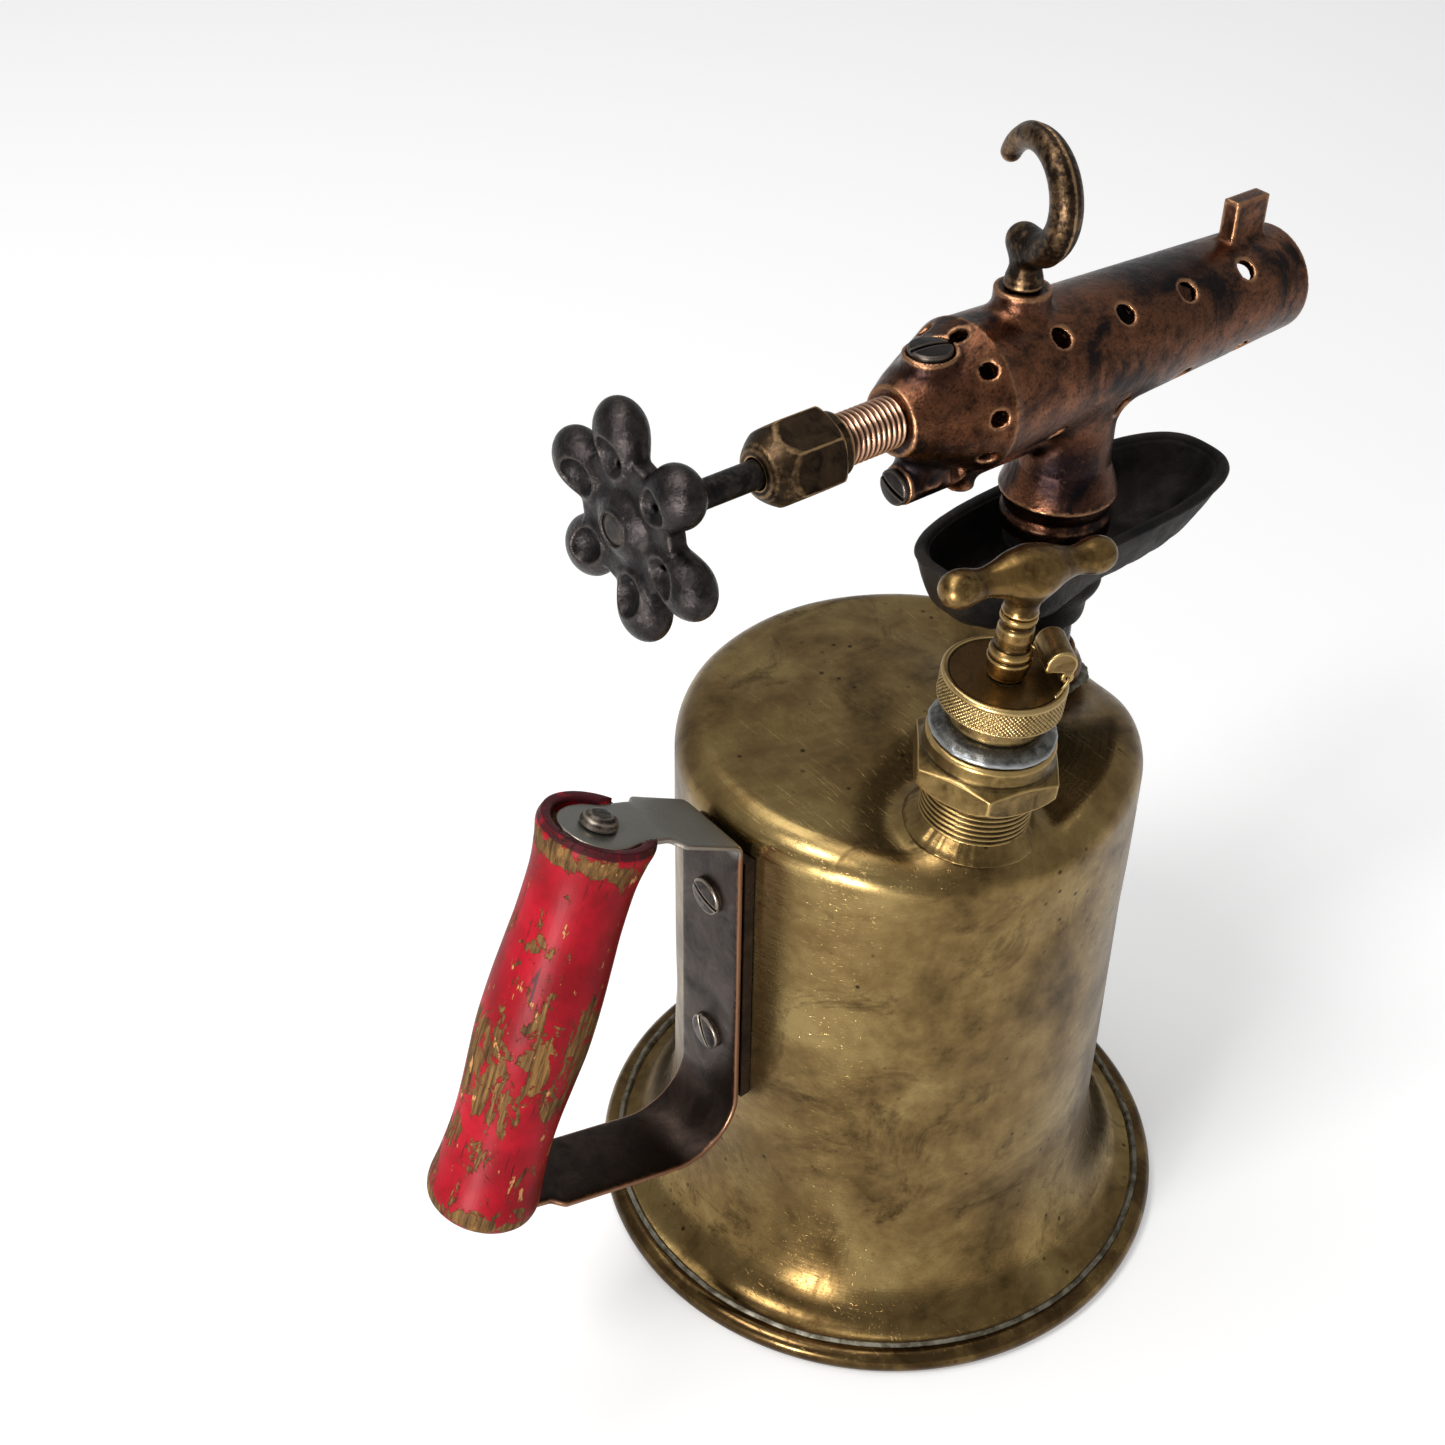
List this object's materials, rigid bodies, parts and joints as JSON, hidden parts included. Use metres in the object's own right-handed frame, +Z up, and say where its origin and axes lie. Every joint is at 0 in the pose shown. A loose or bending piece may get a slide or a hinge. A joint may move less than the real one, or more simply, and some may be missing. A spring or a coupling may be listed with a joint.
{
  "type": "blow torch",
  "caption": "Old brass gasoline blow torch with hand pump, wooden handle, priming cup and burner.",
  "frame": {"origin": "middle of the footprint box on the ground, under the middle of the whole length", "axes": "+Z up, along the tank axis; the burner points along +X and the handle lies on the -X side"},
  "size_m": [0.2246, 0.1384, 0.2687],
  "materials": {
    "aged_brass": "aged and mottled, satin",
    "bright_brass": "machined, lightly tarnished",
    "bronze": "sand-cast bronze, heat-darkened",
    "cast_iron": "rough black casting",
    "dark_steel": "oxidised dark brown-grey",
    "lead": "dull grey lead, stands in for a soft metal",
    "red_wood": "turned wood with worn red paint",
    "leather": "oiled leather",
    "packing": "graphited fibre packing",
    "bright_steel": "bright steel"
  },
  "bodies": {
    "tank": {"tank_shell": "aged_brass", "tank_bottom": "aged_brass", "riser_bush": "bright_brass", "riser_pipe": "dark_steel", "supply_tube": "aged_brass", "supply_strainer": "bright_brass", "saddle_plate": "dark_steel", "handle_strap": "dark_steel", "strap_screw_upper": "dark_steel", "strap_screw_lower": "dark_steel", "wooden_grip": "red_wood", "grip_bolt": "dark_steel", "grip_nut": "dark_steel", "pump_neck": "bright_brass", "pump_nut": "bright_brass", "pump_gasket": "lead", "pump_cap": "bright_brass", "pump_barrel": "aged_brass", "valve_body": "bright_brass", "valve_plug": "bright_brass", "check_spring": "bright_steel", "catch_wire": "bright_brass", "priming_cup": "cast_iron", "riser_washer": "packing", "burner_body": "bronze", "jet": "bright_brass", "plug_top": "dark_steel", "plug_rear": "dark_steel", "rest_hook": "bronze", "gland_packing": "packing", "packing_nut": "bright_brass"},
    "plunger": {"plunger_leather": "leather", "plunger_washer_upper": "bright_brass", "plunger_washer_lower": "bright_brass"},
    "pump_rod": {"pump_rod": "bright_brass", "tee_handle": "bright_brass", "plunger_nut": "bright_brass"},
    "catch": {"rod_catch": "bright_brass"},
    "needle": {"needle_point": "bright_steel"},
    "spindle": {"valve_spindle": "dark_steel", "hand_wheel": "cast_iron"},
    "ball": {"check_ball": "bright_steel"}
  },
  "joints": [
    {"name": "plunger_slide", "type": "slide", "parent": "tank", "child": "plunger", "axis": [0.075, -0.0597, 0.9954], "range_m": [0, 0.058]},
    {"name": "tee_turn", "type": "hinge", "parent": "plunger", "child": "pump_rod", "pos_m": [0.00134, -0.0333, 0.1407], "axis": [0.075, -0.0597, 0.9954], "continuous": true},
    {"name": "catch_swivel", "type": "hinge", "parent": "tank", "child": "catch", "pos_m": [0.01375, -0.04088, 0.17839], "axis": [0.4854, 0.8741, 0.0158], "range_deg": [0, 75]},
    {"name": "needle_travel", "type": "slide", "parent": "tank", "child": "needle", "axis": [-0.9998, 0, 0.0175], "range_m": [0, 0.0032]},
    {"name": "wheel_turn", "type": "hinge", "parent": "needle", "child": "spindle", "pos_m": [0.01414, 0, 0.2171], "axis": [-0.9998, 0, 0.0175], "range_deg": [0, 900]},
    {"name": "ball_lift", "type": "slide", "parent": "tank", "child": "ball", "axis": [-0.075, 0.0597, -0.9954], "range_m": [0, 0.0012], "stiffness_N_per_m": 40, "springref_m": -0.0006, "deforming": ["check_spring"]}
  ],
  "couplings": [
    {"joint": "needle_travel", "follows": "wheel_turn", "m_per_rad": 0.00020213}
  ]
}
